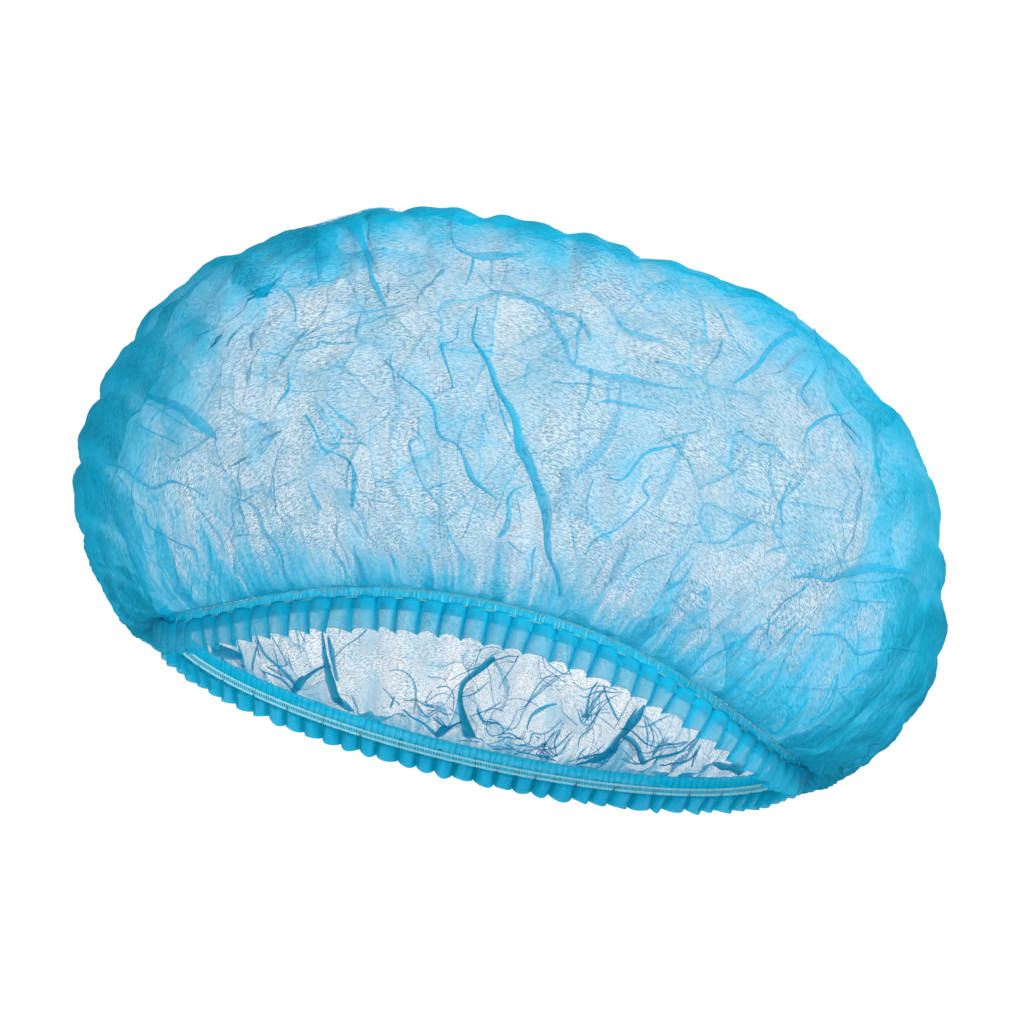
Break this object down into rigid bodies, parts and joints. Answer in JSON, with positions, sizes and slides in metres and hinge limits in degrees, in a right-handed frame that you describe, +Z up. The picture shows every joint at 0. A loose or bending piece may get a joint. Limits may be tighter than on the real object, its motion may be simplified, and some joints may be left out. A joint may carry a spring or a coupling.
{
  "type": "bouffant cap",
  "caption": "Disposable non-woven bouffant cap, opened to head size: a puffed, creased crown gathered onto a stitched elastic band with a frilled hem below it.",
  "frame": {"origin": "middle of the head opening, level with the lower edge of the elastic band, where the cap sits on the head", "axes": "+Z up through the crown, +X along the length of the head from forehead to nape, the side that the picture shows faces -Y"},
  "size_m": [0.276, 0.2088, 0.1538],
  "materials": {
    "crown_cloth": "thin see-through spunbond, matt",
    "band_cloth": "gathered spunbond over elastic, matt",
    "ruffle_cloth": "doubled spunbond hem, matt"
  },
  "bodies": {
    "root": {"crown": "crown_cloth", "elastic_band": "band_cloth", "ruffle": "ruffle_cloth"}
  },
  "joints": []
}
